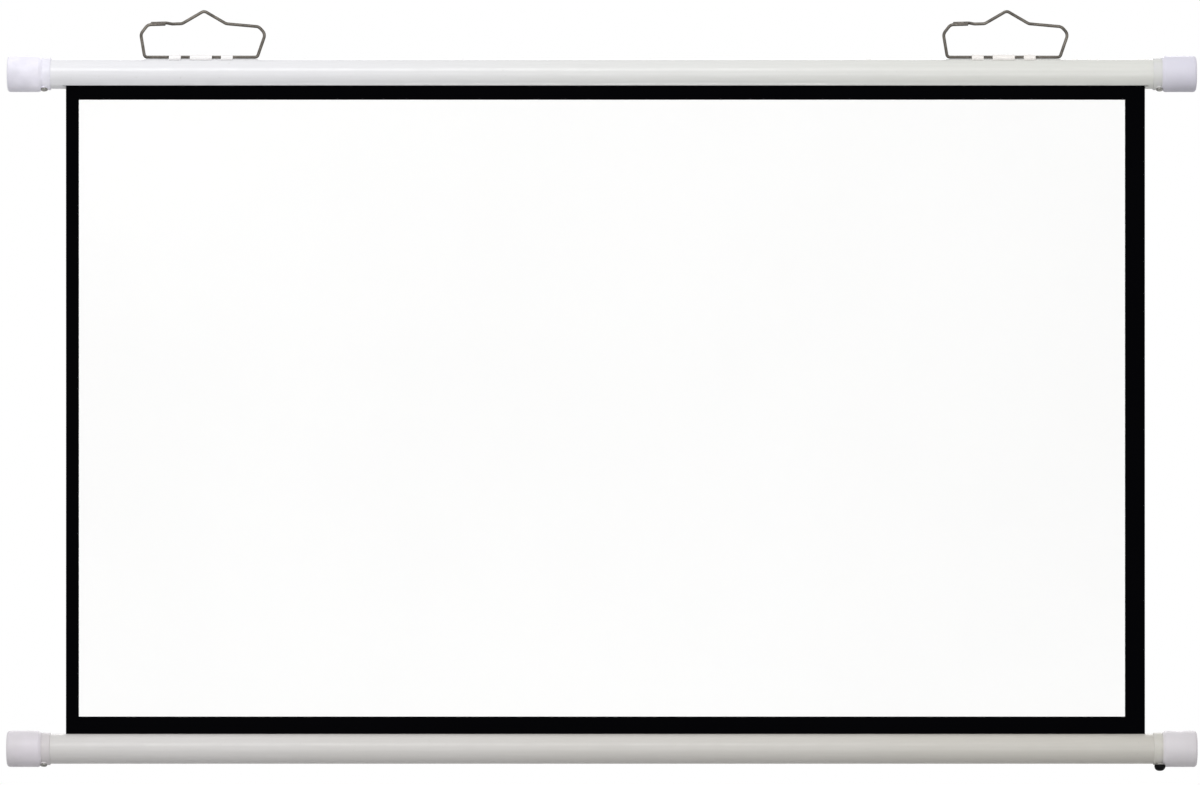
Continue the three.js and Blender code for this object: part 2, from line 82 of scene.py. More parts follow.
# ---------------------------------------------------------------- sizes of what is made here
MM = 0.001
BORDER_STEP, PICTURE_STEP, LEAD_STEP, LOWER_STEP = 0.006, 0.0125, 0.003, 0.0055
THREAD_PITCH = 0.0008
SMOOTH_BELOW = math.radians(32)
MERGE_DISTANCE = 2e-6

# A hanger's corners in mm: across from its crown, up from its pivot, and the fillet.
SHOULDER, CROWN_FOOT = (-71.5, 41.2, 8), (-28, 42.5, 9)
HANGER_CORNERS = (
    SHOULDER, (-80.5, 29.5, 9), (-75.6, 0, 4), (67.6, 0, 4), (77.8, 29.5, 9), (69.5, 38.7, 8),
    (28, 42.5, 9), (0, 58.8, 6), CROWN_FOOT,
)
# Its two ends lap at the shoulder, one behind and a little above the other: lengths in mm, offsets in metres.
LAP_LENGTH, LAP_JOG, LAP_TRIM = 22, 10, 4
LAP_ASIDE, LAP_RISE = 2 * WIRE_RADIUS + 0.0002, 0.0018
WIRE_STEP, WIRE_SIDES = 0.0011, 20
BEAD_PLACES = (0.2, 0.8)
BEAD_SIZE = (0.0026, 0.0021, 0.0018)

SIDES = (("left", -1), ("right", 1))
CLIP_PLACES = (("outer", 33 * MM), ("centre", 0), ("inner", -33 * MM))
CENTRE_RIVETS = 0.0085  # the two pairs on a centre clip lie this far from its middle
RIVET_TILT, RIVET_SIDES = 17.5, 20
RIVET_PROFILE = (
    (0, -0.0004), (0.00235, -0.0004), (0.0024, 0.00015), (0.0022, 0.00045), (0.0016, 0.00075), (0.0008, 0.00092),
    (0, 0.00096),
)

# A cap screw's head: rings of (share of the radius, height) from its foot to its flat top, and its cross recess.
SCREW_TILT, SCREW_SIDES = math.radians(25), 48
SCREW_FOOT, SCREW_RADIUS, SCREW_HEIGHT = 0.0217, 0.0045, 0.0020
SCREW_RINGS = (
    (0.0, 0.0), (0.97, 0.0), (1.0, 0.00012), (1.0, 0.00065), (0.975, 0.0010), (0.90, 0.00138), (0.78, 0.00168),
    (0.62, 0.00187), (0.5, 0.00195), *((share, SCREW_HEIGHT) for share in (0.44, 0.38, 0.32, 0.26, 0.20, 0.14, 0.08)),
    (0.0, SCREW_HEIGHT),
)
CROSS_DEPTH, CROSS_REACH, CROSS_END = 0.0011, 0.0021, 0.0002
CROSS_HALF_WIDTH, CROSS_TAPER, CROSS_WALL = 0.00058, 0.06, 0.00025
CROSS_ABOVE = 0.0015  # only points higher than this are pushed down into the cross

# ---------------------------------------------------------------- camera and light
LENS, SENSOR_WIDTH = 240.0, 36.0
VIEW_X, VIEW_Z, VIEW_WIDTH = -0.0069, -0.4820, 1.5235  # the middle and the width of what it sees at the cloth
LAMPS = (  # name, place, aimed at, size, watts, spread in degrees
    ("key", (-1.6, -7.6, 4.8), (0, 0, -0.45), (4.6, 2.6), 425, 180),
    ("front", (0.8, -8.4, -0.6), (0, 0, -0.5), (4.0, 3.0), 169, 180),
    ("left", (-1.0, -0.22, 0.95), (-0.75, 0, -0.08), (0.6, 0.3), 1.0, 180),
    ("back", (0.5, 7.6, 3.4), (0, 0, -0.45), (4.4, 2.8), 170, 180),
    ("side_left", (-7.5, 0.4, 0.6), (0, 0, -0.45), (3.0, 3.0), 90, 180),
    ("side_right", (7.5, 0.4, 0.6), (0, 0, -0.45), (3.0, 3.0), 90, 180),
    ("under_case", (-0.03, -0.045, -0.62), (-0.03, -0.020, -0.09), (1.46, 0.03), 0.033, 8),
)
SKY_HEIGHTS, SKY_STRENGTHS = (-0.6, 0.6), (0.04, 0.58)
FLOOR_Z, FLOOR_RADIUS, FLOOR_SIDES = -2.2, 2.05, 96
FLOOR_FADE = (1.0, 2.0)  # the distances from its middle between which it fades to white


def make_camera():
    data = bpy.data.cameras.new("camera")
    data.sensor_width = SENSOR_WIDTH
    data.lens = LENS
    camera = bpy.data.objects.new("camera", data)
    bpy.context.scene.collection.objects.link(camera)
    distance = VIEW_WIDTH * data.lens / data.sensor_width
    camera.location = (VIEW_X, CLOTH_Y - distance, VIEW_Z)
    camera.rotation_euler = (math.radians(90), 0, 0)
    bpy.context.scene.camera = camera


# ---------------------------------------------------------------- materials
def linear(colour):
    return tuple(c / 12.92 if c <= 0.04045 else ((c + 0.055) / 1.055) ** 2.4 for c in colour)


def scaled(colour, factor):
    return tuple(min(1.0, c * factor) for c in colour)


class Graph:
    """A material's nodes, made one call at a time. A colour is given as it looks on screen, 0 to 1."""

    def __init__(self, name):
        self.material = bpy.data.materials.new(name)
        self.material.use_nodes = True
        self.tree = self.material.node_tree
        self.tree.nodes.clear()
        self.out = self.tree.nodes.new("ShaderNodeOutputMaterial")
        self.shader = self.tree.nodes.new("ShaderNodeBsdfPrincipled")
        self.tree.links.new(self.shader.outputs[0], self.out.inputs["Surface"])
        self.place = self.tree.nodes.new("ShaderNodeTexCoord").outputs["Object"]

    def put(self, socket, value):
        if isinstance(value, bpy.types.NodeSocket):
            self.tree.links.new(value, socket)
        elif isinstance(value, tuple) and len(value) == 3 and socket.type == "RGBA":
            socket.default_value = (*linear(value), 1)
        else:
            socket.default_value = value

    def node(self, kind, output=0, **inputs):
        made = self.tree.nodes.new(kind)
        for key, value in inputs.items():
            self.put(made.inputs[key.replace("_", " ")], value)
        return made.outputs[output]

    def axis(self, which):
        return self.node("ShaderNodeSeparateXYZ", which, Vector=self.place)

    def noise(self, scale=1.0, detail=3.0, roughness=0.55, stretch=None):
        """Noise at the object's own place, or at that place stretched along its axes."""
        vector = self.place
        if stretch:
            vector = self.node("ShaderNodeMapping", Vector=self.place, Scale=stretch)
        return self.node("ShaderNodeTexNoise", Vector=vector, Scale=scale, Detail=detail, Roughness=roughness)

    def ramp(self, value, start, end, to=(0.0, 1.0)):
        """A soft-ended ramp: the value's range from start to end becomes the range to."""
        made = self.tree.nodes.new("ShaderNodeMapRange")
        made.interpolation_type = "SMOOTHSTEP"
        for socket, given in zip(made.inputs[:5], (value, start, end, *to)):
            self.put(socket, given)
        return made.outputs[0]

    def math(self, operation, a, b=0.0):
        made = self.tree.nodes.new("ShaderNodeMath")
        made.operation = operation
        self.put(made.inputs[0], a)
        self.put(made.inputs[1], b)
        return made.outputs[0]

    def mix(self, share, a, b):
        made = self.tree.nodes.new("ShaderNodeMix")
        made.data_type = "RGBA"
        self.put(made.inputs[0], share)
        self.put(made.inputs[6], a)
        self.put(made.inputs[7], b)
        return made.outputs[2]

    def bump(self, height, strength, distance, under=None):
        made = self.tree.nodes.new("ShaderNodeBump")
        self.put(made.inputs["Height"], height)
        made.inputs["Strength"].default_value = strength
        made.inputs["Distance"].default_value = distance
        if under is not None:
            self.put(made.inputs["Normal"], under)
        return made.outputs[0]

    def finish(self, **sockets):
        for key, value in sockets.items():
            self.put(self.shader.inputs[key.replace("_", " ")], value)
        return self.material


def satin_paint(name, left, right, coat):
    """Satin white paint: a faint lengthwise grain under fine orange peel, dust, and painted shade that darkens it
    towards +X.
    """
    g = Graph(name)
    # Painted shade: the left colour turns into the darker, warmer right colour along X, with a random wobble,
    # standing in for light that falls off towards the right.
    drift = g.math("ADD", g.axis(0), g.math("MULTIPLY", g.noise(scale=2.2, detail=2.0), 0.6))
    painted_falloff = g.mix(g.ramp(drift, -0.35, 0.95), left, right)
    streaks = g.noise(detail=4.0, roughness=0.6, stretch=(14, 420, 420))
    body = g.mix(g.ramp(streaks, 0.35, 0.8, to=(0.0, 0.05)), painted_falloff, scaled(right, 0.5))
    specks = g.noise(scale=240.0, detail=2.0, roughness=0.7)
    dusty = g.mix(g.ramp(specks, 0.66, 0.80, to=(0.0, 0.30)), body, scaled(right, 0.86))
    peel = g.noise(scale=620.0, detail=2.0, roughness=0.5)
    grain = g.bump(streaks, strength=0.10, distance=0.0004)
    return g.finish(
        Base_Color=dusty,
        Roughness=g.ramp(g.noise(scale=60.0, detail=4.0), 0.3, 0.7, to=(0.34, 0.50)),
        Specular_IOR_Level=0.3,
        Coat_Weight=coat,
        Coat_Roughness=0.18,
        Normal=g.bump(peel, strength=0.12, distance=0.0003, under=grain),
    )


def moulded_plastic(name, left, right, left_collar, right_collar):
    """Satin moulded plastic: a spark-eroded grain, slow random changes in tone, rubbed glossier places, a tone of its
    own for the barrel and the collar of each cap, and painted shade that makes the right cap darker than the left."""
    g = Graph(name)
    # Painted shade: each cap's barrel and collar go from the left colours at -X to the darker right colours at +X,
    # standing in for light that falls off towards the right.
    side = g.ramp(g.axis(0), -0.5, 0.5)
    from_middle = g.math("ABSOLUTE", g.math("SUBTRACT", g.axis(0), ENDS_MIDDLE))
    barrel = g.mix(side, left, right)
    neck = g.mix(side, left_collar, right_collar)
    plain = g.mix(g.ramp(from_middle, *COLLAR_EDGE), neck, barrel)
    cloud = g.mix(g.ramp(g.noise(scale=26.0), 0.35, 0.7, to=(0.0, 0.6)), plain, scaled(right, 0.97))
    specks = g.noise(scale=900.0, detail=2.0, roughness=0.8)
    body = g.mix(g.ramp(specks, 0.62, 0.78, to=(0.0, 0.25)), cloud, scaled(right, 0.9))
    rubbed = g.ramp(g.noise(scale=75.0, detail=4.0, roughness=0.6), 0.45, 0.7)
    return g.finish(
        Base_Color=body,
        Roughness=g.math("SUBTRACT", 0.52, g.math("MULTIPLY", rubbed, 0.12)),
        Specular_IOR_Level=0.4,
        Subsurface_Weight=0.04,
        Subsurface_Radius=(0.004, 0.004, 0.005),
        Subsurface_Scale=0.6,
        Normal=g.bump(g.noise(scale=1900.0, roughness=0.7), strength=0.16, distance=0.0002),
    )


def dull_wire(name, colour, dark):
    """Drawn wire with a dull zinc skin: slow clouding, a fine grain and small bright rubbed spots."""
    g = Graph(name)
    cloud = g.noise(scale=75.0, roughness=0.5)
    grain = g.noise(scale=1300.0, roughness=0.6)
    skin = g.mix(g.ramp(cloud, 0.32, 0.70), dark, colour)
    grainy = g.mix(g.ramp(grain, 0.40, 0.75, to=(0.0, 0.45)), skin, scaled(dark, 0.72))
    spots = g.ramp(g.noise(scale=520.0, detail=2.0, roughness=0.7), 0.66, 0.74, to=(0.0, 0.35))
    clouded = g.bump(cloud, strength=0.15, distance=0.0003)
    return g.finish(
        Base_Color=g.mix(spots, grainy, scaled(colour, 1.35)),
        Metallic=0.85,
        Roughness=g.ramp(grain, 0.3, 0.7, to=(0.40, 0.56)),
        Normal=g.bump(grain, strength=0.18, distance=0.0001, under=clouded),
    )


def machined_metal(name, colour, rough, stretch):
    """Plain metal with fine tool or drawing marks and a light bloom of dulling."""
    g = Graph(name)
    marks = g.noise(detail=4.0, roughness=0.6, stretch=stretch)
    bloom = g.ramp(g.noise(scale=130.0), 0.4, 0.7, to=(0.0, 0.7))
    return g.finish(
        Base_Color=g.mix(bloom, colour, scaled(colour, 0.78)),
        Metallic=0.95,
        Roughness=g.ramp(marks, 0.3, 0.7, to=(rough - 0.08, rough + 0.10)),
        Normal=g.bump(marks, strength=0.2, distance=0.0001),
    )


def moulded_rubber(name, colour, dust_colour):
    """Matt rubber with a little dust in its grain."""
    g = Graph(name)
    dust = g.noise(scale=260.0, detail=4.0, roughness=0.7)
    return g.finish(
        Base_Color=g.mix(g.ramp(dust, 0.55, 0.8, to=(0.0, 0.3)), colour, dust_colour),
        Roughness=g.ramp(dust, 0.3, 0.7, to=(0.46, 0.66)),
        Specular_IOR_Level=0.08,
        Normal=g.bump(g.noise(scale=1500.0, detail=2.0), strength=0.2, distance=0.0002),
    )


def screen_fabric(name, colour, shade, depth, gloss):
    """Coated plain weave: the threads' crossings show through a matt coating, with faint slubs along the cloth."""
    g = Graph(name)
    across, along = (
        g.math("SINE", g.math("MULTIPLY", g.axis(which), 2 * math.pi / THREAD_PITCH)) for which in (0, 2))
    slubs = g.noise(roughness=0.6, stretch=(9, 1, 700))
    grit = g.noise(scale=1400.0, detail=2.0, roughness=0.7)
    body = g.mix(g.ramp(g.noise(scale=3.0), 0.35, 0.7), colour, shade)
    weave = g.bump(g.math("MULTIPLY", across, along), strength=depth, distance=0.00008)
    pulled = g.bump(slubs, strength=depth * 0.7, distance=0.0001, under=weave)
    return g.finish(
        Base_Color=g.mix(g.ramp(grit, 0.6, 0.8, to=(0.0, 0.35)), body, scaled(shade, 0.94)),
        Roughness=g.ramp(grit, 0.3, 0.7, to=(0.86, 0.96)),
        Specular_IOR_Level=gloss,
        Normal=g.bump(grit, strength=depth * 0.8, distance=0.00005, under=pulled),
    )


def make_materials():
    """One material for each slot of the record, and two darker copies, painted shade, for the tube and caps of the
    lower bar.
    """
    return {
        "tube_white": satin_paint("case_paint", (0.878, 0.877, 0.890), (0.838, 0.839, 0.820), coat=0.22),
        # Painted shade: the lower bar's tube and caps have the same paint and plastic as the case, made darker here
        # because the lower bar gets less light.
        "bar_shaded_paint": satin_paint("bar_shaded_paint", (0.785, 0.776, 0.770), (0.739, 0.727, 0.700), coat=0.07),
        "cap_white": moulded_plastic(
            "case_cap_plastic", (0.920, 0.911, 0.952), (0.835, 0.827, 0.872),
            left_collar=(0.912, 0.906, 0.944), right_collar=(0.825, 0.826, 0.815)),
        "bar_shaded_plastic": moulded_plastic(
            "bar_cap_shaded_plastic", (0.815, 0.795, 0.820), (0.800, 0.785, 0.798),
            left_collar=(0.770, 0.752, 0.758), right_collar=(0.755, 0.746, 0.716)),
        "clip_white": satin_paint("clip_paint", (0.910, 0.905, 0.905), (0.908, 0.894, 0.880), coat=0.25),
        "wire_steel": dull_wire("dull_wire", (0.42, 0.40, 0.375), (0.32, 0.305, 0.285)),
        "screw_grey": machined_metal("zinc_screw", (0.56, 0.555, 0.54), 0.38, stretch=(900, 900, 60)),
        "inner_steel": machined_metal("plain_steel", (0.66, 0.67, 0.69), 0.35, stretch=(30, 900, 900)),
        "roller_metal": machined_metal("mill_aluminium", (0.80, 0.81, 0.82), 0.32, stretch=(20, 900, 900)),
        "cloth_white": screen_fabric(
            "screen_face", (0.992, 0.992, 0.990), (0.988, 0.988, 0.986), depth=0.08, gloss=0.15),
        "cloth_black": screen_fabric(
            "screen_border", (0.012, 0.012, 0.018), (0.016, 0.016, 0.022), depth=0.22, gloss=0.015),
        "cloth_back": screen_fabric(
            "screen_back", (0.085, 0.085, 0.090), (0.105, 0.105, 0.110), depth=0.30, gloss=0.10),
        "rubber_black": moulded_rubber("moulded_rubber", (0.012, 0.012, 0.016), (0.12, 0.12, 0.12)),
    }


# ---------------------------------------------------------------- mesh helpers
def rounding_group():
    """Joins the facets of a turned or swept solid into smooth faces and keeps its sharp edges."""
    group = bpy.data.node_groups.new("smooth_turned_faces", "GeometryNodeTree")
    group.interface.new_socket("Geometry", in_out="INPUT", socket_type="NodeSocketGeometry")
    group.interface.new_socket("Geometry", in_out="OUTPUT", socket_type="NodeSocketGeometry")
    new, link = group.nodes.new, group.links.new
    start, end = new("NodeGroupInput"), new("NodeGroupOutput")
    merge = new("GeometryNodeMergeByDistance")
    merge.inputs["Distance"].default_value = MERGE_DISTANCE
    drop = new("GeometryNodeRemoveAttribute")
    drop.inputs["Name"].default_value = "custom_normal"
    faces, edges = new("GeometryNodeSetShadeSmooth"), new("GeometryNodeSetShadeSmooth")
    edges.domain = "EDGE"
    edges.inputs["Shade Smooth"].default_value = False
    angle, sharp = new("GeometryNodeInputMeshEdgeAngle"), new("ShaderNodeMath")
    sharp.operation = "GREATER_THAN"
    sharp.inputs[1].default_value = SMOOTH_BELOW
    link(angle.outputs["Unsigned Angle"], sharp.inputs[0])
    link(sharp.outputs[0], edges.inputs["Selection"])
    chain = (start, merge, drop, faces, edges, end)
    for before, after in zip(chain, chain[1:]):
        link(before.outputs[0], after.inputs[0])
    return group


def piece(name, bm, body, materials):
    """A mesh object from bm that rides on a body and takes its finish from a slot of the record."""
    bmesh.ops.recalc_face_normals(bm, faces=bm.faces)
    mesh = bpy.data.meshes.new(name)
    bm.to_mesh(mesh)
    bm.free()
    for material in materials:
        mesh.materials.append(material)
    made = bpy.data.objects.new(name, mesh)
    bpy.context.scene.collection.objects.link(made)
    made.modifiers.new("smooth", "NODES").node_group = smooth_faces
    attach(made, body)
    return made


def steps(low, high, size):
    """Even cuts from low to high, about size apart."""
    count = max(1, round((high - low) / size))
    return [low + (high - low) * i / count for i in range(count + 1)]


def circle(sides):
    return [2 * math.pi * i / sides for i in range(sides)]


def grid_rows(bm, rows, closed=False):
    """Faces between neighbouring rows of vertices; a closed row joins its last vertex to its first."""
    for a, b in zip(rows, rows[1:]):
        count = len(a)
        for i in range(count if closed else count - 1):
            j = (i + 1) % count
            bm.faces.new((a[i], a[j], b[j], b[i]))


def closed_bar(bm, rows):
    """A solid from rows that each go once round it, with a face at both ends."""
    grid_rows(bm, rows, closed=True)
    bm.faces.new(rows[0])
    bm.faces.new(rows[-1])


def lathe(bm, profile, matrix, sides):
    """A profile of (radius, height) turned round the local Z axis."""
    rows = []
    for radius, height in profile:
        turns = circle(sides) if radius else [0.0]
        rows.append([
            bm.verts.new(matrix @ Vector((radius * math.cos(a), radius * math.sin(a), height))) for a in turns])
    for a, b in zip(rows, rows[1:]):
        for i in range(sides):
            j = (i + 1) % sides
            if len(a) == 1:
                bm.faces.new((a[0], b[j], b[i]))
            elif len(b) == 1:
                bm.faces.new((a[i], a[j], b[0]))
            else:
                bm.faces.new((a[i], a[j], b[j], b[i]))


def rounded_path(corners, step):
    """Points along corners given as (x, z, fillet), the fillets as arcs with a point about every step."""
    points = []
    for i, (x, z, fillet) in enumerate(corners):
        corner = Vector((x, z))
        if not fillet:
            points.append(corner)
            continue
        back = (Vector(corners[i - 1][:2]) - corner).normalized()
        on = (Vector(corners[i + 1][:2]) - corner).normalized()
        half = math.acos(max(-1.0, min(1.0, back.dot(on)))) / 2
        middle = corner + (back + on).normalized() * (fillet / math.sin(half))
        start = corner + back * (fillet / math.tan(half)) - middle
        end = corner + on * (fillet / math.tan(half)) - middle
        turn = math.copysign(math.pi - 2 * half, start.x * end.y - start.y * end.x)
        count = max(4, round(abs(turn) * fillet / step))
        for k in range(count + 1):
            a = turn * k / count
            points.append(middle + Vector((
                start.x * math.cos(a) - start.y * math.sin(a),
                start.x * math.sin(a) + start.y * math.cos(a),
            )))
    return points


def neighbours(points, i):
    """The points before and after point i, or point i itself at an end."""
    return points[max(i - 1, 0)], points[min(i + 1, len(points) - 1)]


def tube_along(bm, points, radius, sides):
    """A round bar along 3-D points, its ends closed by a low dome."""
    dome = ((0.86, 0.14), (0.55, 0.28))
    tangents = []
    for i in range(len(points)):
        before, after = neighbours(points, i)
        tangents.append((after - before).normalized())
    side = tangents[0].orthogonal().normalized()
    rows, last = [], tangents[0]
    for i, (point, tangent) in enumerate(zip(points, tangents)):
        side = last.rotation_difference(tangent) @ side
        last = tangent
        across = tangent.cross(side)
        rings = [(1.0, 0.0)]
        if i == 0:
            rings = [(size, -ahead) for size, ahead in reversed(dome)] + rings
        if i == len(points) - 1:
            rings += dome
        for size, ahead in rings:
            centre = point + tangent * (radius * ahead)
            rows.append([
                bm.verts.new(centre + (side * math.cos(a) + across * math.sin(a)) * (radius * size))
                for a in circle(sides)
            ])
    closed_bar(bm, rows)


# ---------------------------------------------------------------- cloth
def ripple(x, z):
    """How far the taut cloth stands off its plane: slow waves and a slight backward curl of the side edges."""
    share = (z - LEAD_END) / (PICTURE_BOTTOM - LEAD_END)
    if not 0 < share < 1:
        return 0.0
    held = math.sin(math.pi * share) ** 0.8
    wave = 0.0007 * noise.noise(Vector((x * 2.6, 0.3, z * 1.3))) + 0.00025 * math.sin(x * 21 + z * 3)
    curl_width, curl = 0.05, 0.0012
    edge = max(0.0, (abs(x) - (CLOTH_HALF - curl_width)) / curl_width)
    return held * (wave + curl * edge * edge)


def flat(x, z):
    return 0.0


def cloth_strip(name, body, z_cuts, offset, mats):
    """A thin closed sheet in the cloth's plane: white picture, black border on its face, plain back."""
    x_cuts = sorted({
        *steps(-CLOTH_HALF, PICTURE_LEFT, BORDER_STEP),
        *steps(PICTURE_LEFT, PICTURE_RIGHT, PICTURE_STEP),
        *steps(PICTURE_RIGHT, CLOTH_HALF, BORDER_STEP),
    })
    bm = bmesh.new()
    half = CLOTH_THICKNESS / 2
    front, back = (
        [[bm.verts.new((x, CLOTH_Y + offset(x, z) + face, z)) for x in x_cuts] for z in z_cuts]
        for face in (-half, half)
    )
    grid_rows(bm, front)
    for made in bm.faces:
        middle = made.calc_center_median()
        inside = PICTURE_LEFT < middle.x < PICTURE_RIGHT and PICTURE_BOTTOM < middle.z < PICTURE_TOP
        made.material_index = 0 if inside else 1
    front_count = len(bm.faces)
    grid_rows(bm, [row[::-1] for row in back])
    grid_rows(bm, [front[0], back[0]])
    grid_rows(bm, [back[-1], front[-1]])
    for end in (0, -1):
        grid_rows(bm, [[row[end] for row in front], [row[end] for row in back]])
    bm.faces.ensure_lookup_table()
    for made in bm.faces[front_count:]:
        made.material_index = 2
    return piece(name, bm, body, [mats["cloth_white"], mats["cloth_black"], mats["cloth_back"]])


def wound_cloth(mats):
    """The turns that never leave the roller, as one wound strip."""
    turns, inner_radius, half = 1.9, 0.00872, 0.00016
    climb = 0.9 * CLOTH_THICKNESS  # how much further out each turn lies
    turn_steps, x_step = 72, 0.09
    path = []
    for k in range(turn_steps + 1):
        a = 2 * math.pi * turns * k / turn_steps
        path.append((a, inner_radius + half + climb * a / (2 * math.pi)))
    bm = bmesh.new()
    rows = []
    for x in steps(-CLOTH_HALF, CLOTH_HALF, x_step):
        row = []
        for sign, way in ((1, path), (-1, path[::-1])):
            for a, middle in way:
                radius = middle + sign * half
                row.append(bm.verts.new((x, radius * math.sin(a), CASE_Z + radius * math.cos(a))))
        rows.append(row)
    closed_bar(bm, rows)
    made = piece("wound_cloth", bm, "roller", [mats["cloth_back"]])
    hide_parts("cloth_reserve")
    return made


def hem_cloth(mats):
    """The cloth's lower edge: a loop round the hem rod that comes back up behind itself through the slot."""
    loop_radius, loop_steps, x_step = 0.00342, 40, 0.06
    top, straight, neck = BAR_Z + 0.0185, 0.0008, 0.00021
    half = CLOTH_THICKNESS / 2 - 0.00001
    lean = math.asin(neck / loop_radius)
    centre = [Vector((-neck, top)), Vector((-neck, top - straight))]
    for k in range(loop_steps + 1):
        a = lean + (2 * math.pi - 2 * lean) * k / loop_steps
        centre.append(Vector((-loop_radius * math.sin(a), ROD_Z + loop_radius * math.cos(a))))
    centre += [Vector((neck, top - straight)), Vector((neck, top))]
    outline = []
    there = range(len(centre))
    for sign, way in ((1, there), (-1, reversed(there))):
        for i in way:
            before, after = neighbours(centre, i)
            along = (after - before).normalized()
            outline.append(centre[i] + Vector((-along.y, along.x)) * sign * half)
    bm = bmesh.new()
    closed_bar(bm, [
        [bm.verts.new((x, CLOTH_Y + p.x, p.y)) for p in outline] for x in steps(-CLOTH_HALF, CLOTH_HALF, x_step)])
    made = piece("cloth_hem", bm, "bottom_bar", [mats["cloth_black"]])
    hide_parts("hem_loop")
    return made


def make_cloth(mats):
    main_cuts = sorted({
        *steps(PICTURE_BOTTOM, PICTURE_TOP, PICTURE_STEP),
        *steps(PICTURE_TOP, LEAD_END, BORDER_STEP),
    })
    lead_cuts = steps(LEAD_END, CASE_Z, LEAD_STEP)
    lower_cuts = steps(CLOTH_END, PICTURE_BOTTOM, LOWER_STEP)
    main = cloth_strip("screen_cloth", "case", main_cuts, ripple, mats)
    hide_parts("projection_sheet", "border_left", "border_right", "border_top")
    lead = cloth_strip("cloth_lead", "case", lead_cuts, flat, mats)
    low = cloth_strip("cloth_lower_border", "bottom_bar", lower_cuts, flat, mats)
    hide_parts("border_bottom")
    hem = hem_cloth(mats)
    wound = wound_cloth(mats)
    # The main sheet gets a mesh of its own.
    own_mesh(main)


# ---------------------------------------------------------------- hangers
def hanger(side, x, mats):
    """One bent wire: two ends lap at the left shoulder, joined there by two spot welds."""
    lap_from, lap_to = SHOULDER[0] + LAP_LENGTH, SHOULDER[0] + LAP_TRIM
    slope = (CROWN_FOOT[1] - SHOULDER[1]) / (CROWN_FOOT[0] - SHOULDER[0])

    def arm(across):
        """The height in mm of the arm that climbs from the shoulder to the foot of the crown."""
        return SHOULDER[1] + (across - SHOULDER[0]) * slope

    def lapped(across, ease):
        """A point of the end that has moved behind and above the other one by a share, ease."""
        return Vector((x + across * MM, LAP_ASIDE * ease, PIVOT_Z + arm(across) * MM + LAP_RISE * ease))

    ends = [(across, arm(across), 0) for across in (lap_from, lap_from + LAP_JOG)]
    corners = [tuple(value * MM for value in corner) for corner in (ends[0], *HANGER_CORNERS, ends[1])]
    path = [Vector((x + p.x, 0, PIVOT_Z + p.y)) for p in rounded_path(corners, WIRE_STEP)]
    for share in (0.2, 0.4, 0.6, 0.8, 1.0):
        path.append(lapped(lap_from + LAP_JOG * (1 - share), share * share * (3 - 2 * share)))
    path.append(lapped(lap_to, 1))
    bm = bmesh.new()
    tube_along(bm, path, WIRE_RADIUS, WIRE_SIDES)
    wide, deep, high = BEAD_SIZE
    for where in BEAD_PLACES:
        centre = lapped(lap_from + (lap_to - lap_from) * where, 0.5)
        for vert in bmesh.ops.create_icosphere(bm, subdivisions=3, radius=1.0)["verts"]:
            lump = 1 + 0.16 * noise.noise(vert.co * 2.3 + Vector((where * 9, x, 0)))
            vert.co = centre + Vector((vert.co.x * wide, vert.co.y * deep, vert.co.z * high)) * lump
    made = piece(f"wire_hanger_{side}", bm, f"hanger_{side}", [mats["wire_steel"]])
    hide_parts(f"hanger_{side}")


def rivets(mats):
    """A domed rivet on each foot of every clip."""
    for side, hand in SIDES:
        for where, place in CLIP_PLACES:
            middle = hand * (HOOK_X + place) + CLIPS_ASIDE
            across = (-CENTRE_RIVETS, CENTRE_RIVETS) if where == "centre" else (0.0,)
            bm = bmesh.new()
            for dx in across:
                for tilt in (-RIVET_TILT, RIVET_TILT):
                    turn = Matrix.Rotation(math.radians(-tilt), 4, "X")
                    at = Matrix.Translation((middle + dx, 0, CASE_Z)) @ turn @ Matrix.Translation((0, 0, CLIP_FOOT))
                    lathe(bm, RIVET_PROFILE, at, RIVET_SIDES)
            piece(f"rivets_{side}_{where}", bm, "case", [mats["clip_white"]])


# ---------------------------------------------------------------- cap screws
def cap_screw(name, node, axis_z, axis_y, body, mats):
    """A pan-head screw with a cross recess, in place of its plain head."""
    low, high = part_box(node)
    outward = Vector((0, -math.sin(SCREW_TILT), -math.cos(SCREW_TILT)))
    turn = Vector((0, 0, 1)).rotation_difference(outward).to_matrix().to_4x4()
    at = Matrix.Translation(Vector(((low.x + high.x) / 2, axis_y, axis_z)) + outward * SCREW_FOOT) @ turn
    bm = bmesh.new()
    profile = [(SCREW_RADIUS * share, height) for share, height in SCREW_RINGS]
    lathe(bm, profile, Matrix.Identity(4), SCREW_SIDES)
    for vert in bm.verts:
        if vert.co.z < CROSS_ABOVE:
            continue
        reach = vert.co.xy.length
        half_width = CROSS_HALF_WIDTH - CROSS_TAPER * reach
        from_wall = (half_width - min(abs(vert.co.x), abs(vert.co.y))) / CROSS_WALL
        from_end = (CROSS_REACH - reach) / CROSS_END
        vert.co.z -= CROSS_DEPTH * (max(0.0, min(1.0, from_wall)) * max(0.0, min(1.0, from_end)))
    bmesh.ops.transform(bm, matrix=at, verts=bm.verts)
    made = piece(name, bm, body, [mats["screw_grey"]])
    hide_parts(node)


# ---------------------------------------------------------------- finish of the rigid nodes
def dress_nodes(mats):
    """Gives each solid the material of its slot, but the tube and the caps of the lower bar get the darker copies
    with painted shade.
    """
    on_bar = {"bar_tube": "bar_shaded_paint", "bar_cap_left": "bar_shaded_plastic", "bar_cap_right": "bar_shaded_plastic"}
    for row in frame["record"]["subparts"]:
        made = nodes[row["node"]]
        made.data.materials.clear()
        made.data.materials.append(mats[on_bar.get(row["node"], row["material_slot"])])
        made.modifiers.new("smooth", "NODES").node_group = smooth_faces


